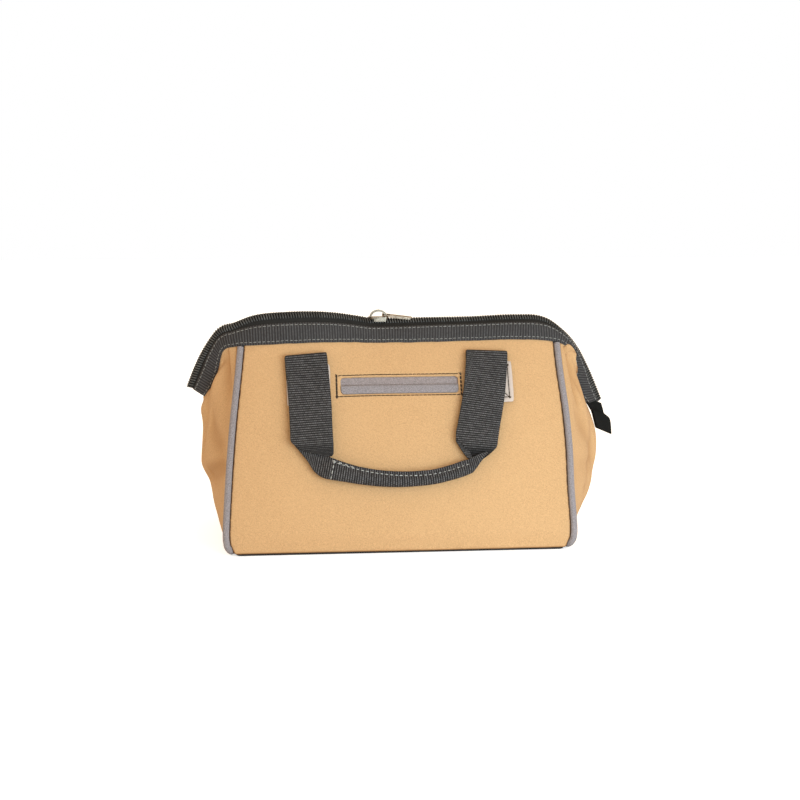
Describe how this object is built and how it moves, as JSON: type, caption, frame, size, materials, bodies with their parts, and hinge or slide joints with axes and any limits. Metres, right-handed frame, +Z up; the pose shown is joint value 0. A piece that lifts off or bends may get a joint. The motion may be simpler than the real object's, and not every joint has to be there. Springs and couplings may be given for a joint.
{
  "type": "canvas tool bag",
  "caption": "Gate-mouth canvas tool bag with leaning panels, bulging gussets, a part-open zip along the top, grey piping, a front welt pocket and two webbing handles.",
  "frame": {"origin": "middle of the base's underside, where the bag stands", "axes": "+X along the bag towards the closed end of the zip, -Y is the front with the pocket, +Z up"},
  "size_m": [0.4004, 0.1902, 0.2106],
  "materials": {
    "canvas_tan": "matt duck canvas with a fine diagonal weave",
    "piping_grey": "grey felt-like tape",
    "webbing_black": "ribbed charcoal webbing",
    "band_black": "ribbed charcoal tape with grey stitching",
    "zip_black": "woven tape with a nylon coil",
    "base_black": "coated cloth",
    "patch_white": "off-white leathercloth with black stitching",
    "pocket_grey": "grey lining cloth",
    "nickel": "bright nickel plate"
  },
  "bodies": {
    "bag": {"base_panel": "base_black", "front_panel": "canvas_tan", "back_panel": "canvas_tan", "left_gusset": "canvas_tan", "right_gusset": "canvas_tan", "left_piping": "piping_grey", "right_piping": "piping_grey", "front_band": "band_black", "back_band": "band_black", "front_zip_tape": "zip_black", "back_zip_tape": "zip_black", "zip_tail": "zip_black", "zip_slider": "nickel", "front_handle": "webbing_black", "back_handle": "webbing_black", "front_left_patch": "patch_white", "front_right_patch": "patch_white", "back_left_patch": "patch_white", "back_right_patch": "patch_white", "pocket_lip": "piping_grey", "pocket_pouch": "pocket_grey"},
    "zip_pull": {"zip_pull": "nickel"}
  },
  "joints": [
    {"name": "zip_pull_swing", "type": "hinge", "parent": "bag", "child": "zip_pull", "pos_m": [-0.009, 0, 0.20507], "axis": [0, -1, 0], "range_deg": [0, 110]}
  ]
}
